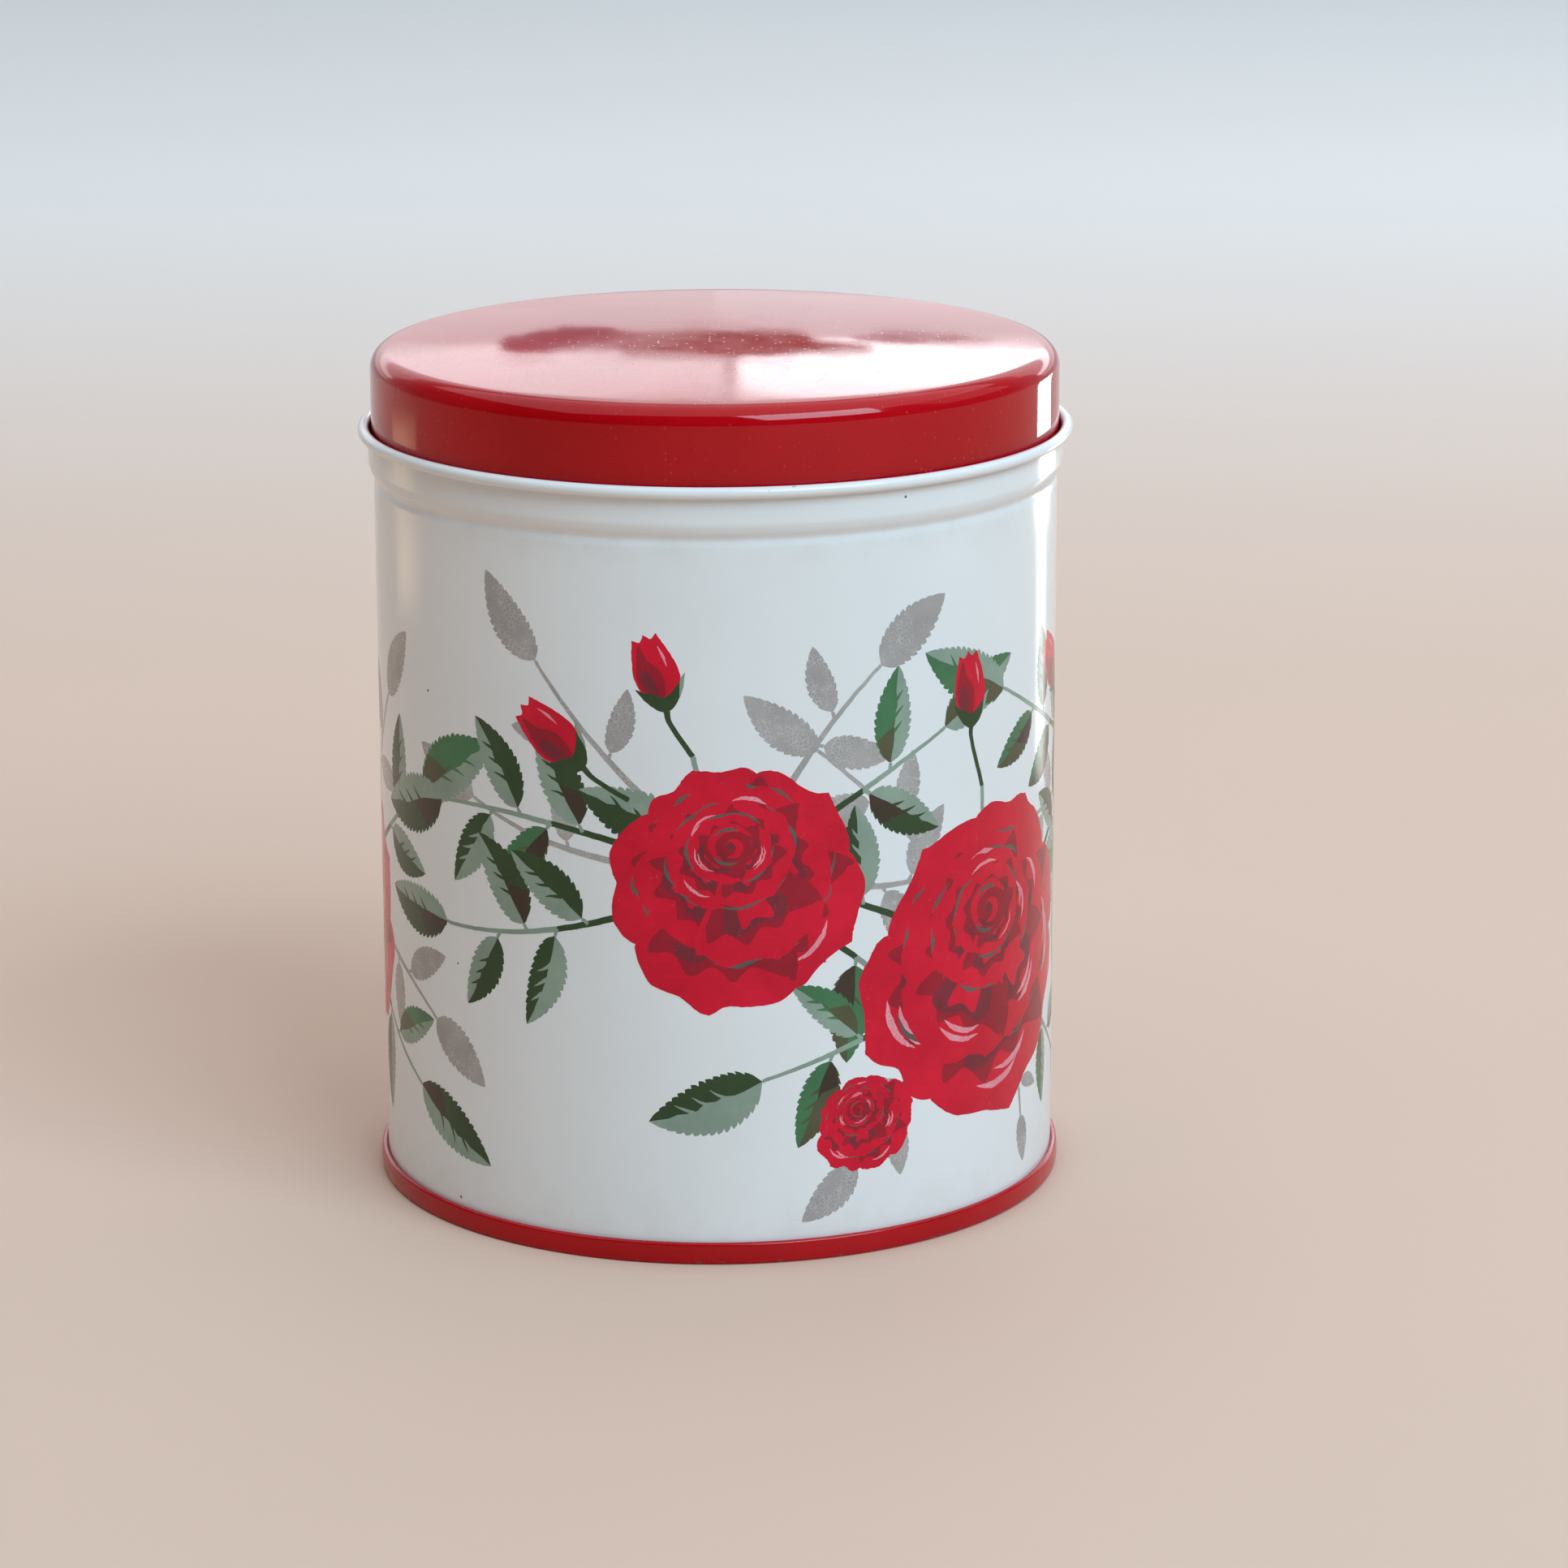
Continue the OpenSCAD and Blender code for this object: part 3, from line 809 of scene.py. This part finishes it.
def inlay(name, v, f, material, r=70.0, top=0.024, depth=0.034):
    used, inv = np.unique(f, return_inverse=True)
    f = inv.reshape(f.shape)
    v = v[used]
    n = len(v)
    th = v[:, 0] / r
    nx, ny = np.sin(th), -np.cos(th)

    def shell(rr):
        return np.stack([rr * nx, rr * ny, v[:, 1]], axis=1) * MM

    e = np.concatenate([f[:, [0, 1]], f[:, [1, 2]], f[:, [2, 0]]])
    key = e[:, 0].astype(np.int64) * n + e[:, 1]
    rim = e[~np.isin(key, e[:, 1].astype(np.int64) * n + e[:, 0])]
    verts = np.concatenate([shell(r + top), shell(r + top - depth)])
    faces = f.tolist() + (f[:, ::-1] + n).tolist() + [[b, a, a + n, b + n] for a, b in rim.tolist()]
    mesh = bpy.data.meshes.new(name)
    mesh.from_pydata(verts.tolist(), [], faces)
    mesh.materials.append(material)
    mesh.polygons.foreach_set("use_smooth", [True] * len(faces))
    mesh.update()
    normals = np.zeros((len(mesh.loops), 3))
    start = np.empty(len(mesh.polygons), dtype=np.int32)
    total = np.empty(len(mesh.polygons), dtype=np.int32)
    mesh.polygons.foreach_get("loop_start", start)
    mesh.polygons.foreach_get("loop_total", total)
    vi = np.empty(len(mesh.loops), dtype=np.int32)
    mesh.loops.foreach_get("vertex_index", vi)
    radial = np.stack([nx, ny, np.zeros(n)], axis=1)
    k = len(f)
    normals[:3 * k] = radial[vi[:3 * k] % n]
    normals[3 * k:6 * k] = -radial[vi[3 * k:6 * k] % n]
    fn = np.empty(len(mesh.polygons) * 3)
    mesh.polygons.foreach_get("normal", fn)
    fn = fn.reshape(-1, 3)
    normals[6 * k:] = np.repeat(fn[2 * k:], 4, axis=0)[:len(normals) - 6 * k]
    mesh.normals_split_custom_set(normals.tolist())
    obj = bpy.data.objects.new(name, mesh)
    bpy.context.scene.collection.objects.link(obj)
    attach(obj, "tin")
    return obj


v, f, owner, names = mosaic(draw_print())
for name in INKS if names else []:
    ids = np.array([k for k, nm in enumerate(names) if nm == name])
    pick = f[np.isin(owner, ids)]
    if len(pick):
        inlay("print_" + name, v, pick, ink(name))
        print("print", name, len(pick))


# ---------------------------------------------------------------- camera, floor and light
def camera():
    yaw, pitch, roll = 0.0128, 0.2571, -0.0027
    fwd = Vector((math.sin(yaw) * math.cos(pitch), math.cos(yaw) * math.cos(pitch), -math.sin(pitch)))
    right = Vector((math.cos(yaw), -math.sin(yaw), 0))
    up = right.cross(fwd)
    r2 = math.cos(roll) * right + math.sin(roll) * up
    u2 = -math.sin(roll) * right + math.cos(roll) * up
    data = bpy.data.cameras.new("camera")
    data.sensor_width, data.lens = 36.0, 123.29
    data.clip_start, data.clip_end = 0.05, 50.0
    obj = bpy.data.objects.new("camera", data)
    bpy.context.scene.collection.objects.link(obj)
    m = Matrix((r2, u2, -fwd)).transposed().to_4x4()
    m.translation = Vector((0, -1.08315, 0.36524))
    obj.matrix_world = m
    bpy.context.scene.camera = obj


camera()


def plain(name, color, rough, far=None):
    n = Nodes(name)
    col = n.mix(n.ramp(n.noise(3.0, 3.0), 0.3, 0.7), tuple(c * 0.985 for c in color), color)
    if far:
        col = n.mix(n.ramp(n.axis("Y"), 0.3, 1.5), col, far)
    return n.done(col, rough)


def sweep():
    """A pale floor that curves up into a backdrop far behind the tin."""
    pts = [(-6.0, 0.0), (1.6, 0.0)] + [(1.6 + 0.8 * math.sin(math.radians(a)), 0.8 - 0.8 * math.cos(math.radians(a)))
                                       for a in range(6, 91, 6)] + [(2.4, 5.0)]
    verts = [(x, y, z) for y, z in pts for x in (-6.0, 6.0)]
    mesh = bpy.data.meshes.new("floor")
    mesh.from_pydata(verts, [], [[2 * i, 2 * i + 1, 2 * i + 3, 2 * i + 2] for i in range(len(pts) - 1)])
    mesh.polygons.foreach_set("use_smooth", [True] * (len(pts) - 1))
    mesh.materials.append(plain("pale_floor", (0.67, 0.485, 0.385), 0.7, (0.70, 0.70, 0.70)))
    obj = bpy.data.objects.new("floor", mesh)
    bpy.context.scene.collection.objects.link(obj)


sweep()


def area(name, at, aim, w, h, watts, color=(1, 1, 1), spread=180):
    data = bpy.data.lights.new(name, "AREA")
    data.shape, data.size, data.size_y, data.energy, data.color = "RECTANGLE", w, h, watts, color
    data.spread = math.radians(spread)
    obj = bpy.data.objects.new(name, data)
    bpy.context.scene.collection.objects.link(obj)
    obj.location = at
    obj.rotation_euler = (Vector(aim) - Vector(at)).to_track_quat("-Z", "Y").to_euler()
    obj.visible_camera = False
    return obj


area("window_front", (1.55, -2.00, 2.30), (0, 0, 0.09), 2.3, 1.7, 88, (0.60, 0.84, 1.0))
area("window_side", (2.30, 0.45, 1.60), (0, 0, 0.09), 1.7, 1.2, 3, (0.80, 0.92, 1.0))
area("ceiling", (0.0, 0.2, 2.2), (0.0, 0.2, 0.0), 4.5, 3.6, 45, (0.82, 0.925, 1.0))
# small cards just out of view, for the upright glints at the sides of the lid and the wall
area("card_right", (0.250, 0.220, 0.112), (0.067, -0.022, 0.147), 0.080, 0.066, 0.0098, spread=36)
area("card_right_low", (0.250, 0.220, 0.043), (0.067, -0.022, 0.078), 0.050, 0.066, 0.0018, spread=36)
area("card_left", (-0.38, 0.205, 0.062), (-0.063, -0.03, 0.150), 0.13, 0.05, 0.0012, (1.0, 0.70, 0.44), spread=40)
# the wall behind, which the lid's top mirrors: brightest half way up
area("back_left", (-0.86, 1.9, 0.86), (-0.86, 0, 0.86), 1.72, 1.20, 3.3, (1.0, 0.97, 0.975))
area("back_right", (0.86, 1.9, 0.86), (0.86, 0, 0.86), 1.72, 1.20, 3.9, (0.99, 0.985, 1.0))
area("back_left_mid", (-0.877, 1.88, 0.63), (-0.877, 0, 0.63), 1.766, 0.22, 1.06, (0.95, 0.96, 1.0))
area("back_right_mid", (0.888, 1.88, 0.63), (0.888, 0, 0.63), 1.744, 0.22, 2.7, (0.93, 0.97, 1.0))


def dark_cards():
    """Ragged cards in front of the wall behind: the darker patch that a room leaves in a glossy lid."""
    rnd = random.Random(5)
    k = 48
    for name, x, z, w, h, y, tone in (("patch", 0.016, 0.530, 0.074, 0.052, 1.80, (0.17, 0.115, 0.100)),
                                      ("patch_left", -0.088, 0.508, 0.058, 0.050, 1.82, (0.34, 0.235, 0.275)),
                                      ("patch_right", 0.135, 0.500, 0.044, 0.026, 1.83, (0.62, 0.52, 0.55))):
        ring = []
        for i in range(k):
            t = 2 * math.pi * i / k
            q = 1 + 0.13 * math.sin(3 * t + 0.6) + 0.09 * math.sin(5 * t + x * 40) + rnd.uniform(-0.06, 0.06)
            ring.append((x + w * q * math.cos(t), y, z + h * q * math.sin(t)))
        mesh = bpy.data.meshes.new("dark_" + name)
        mesh.from_pydata(ring, [], [list(range(k))])
        mesh.materials.append(plain("dark_" + name, tone, 0.9))
        obj = bpy.data.objects.new("dark_" + name, mesh)
        bpy.context.scene.collection.objects.link(obj)
        obj.visible_camera = False


dark_cards()

world = bpy.data.worlds.new("studio")
world.use_nodes = True
world.node_tree.nodes["Background"].inputs[0].default_value = (0.94, 0.79, 0.70, 1)
world.node_tree.nodes["Background"].inputs[1].default_value = 0.26
bpy.context.scene.world = world
view = bpy.context.scene.view_settings
view.view_transform = "Standard"
view.use_curve_mapping = True
view.curve_mapping.black_level = (0.007, 0.007, 0.007)
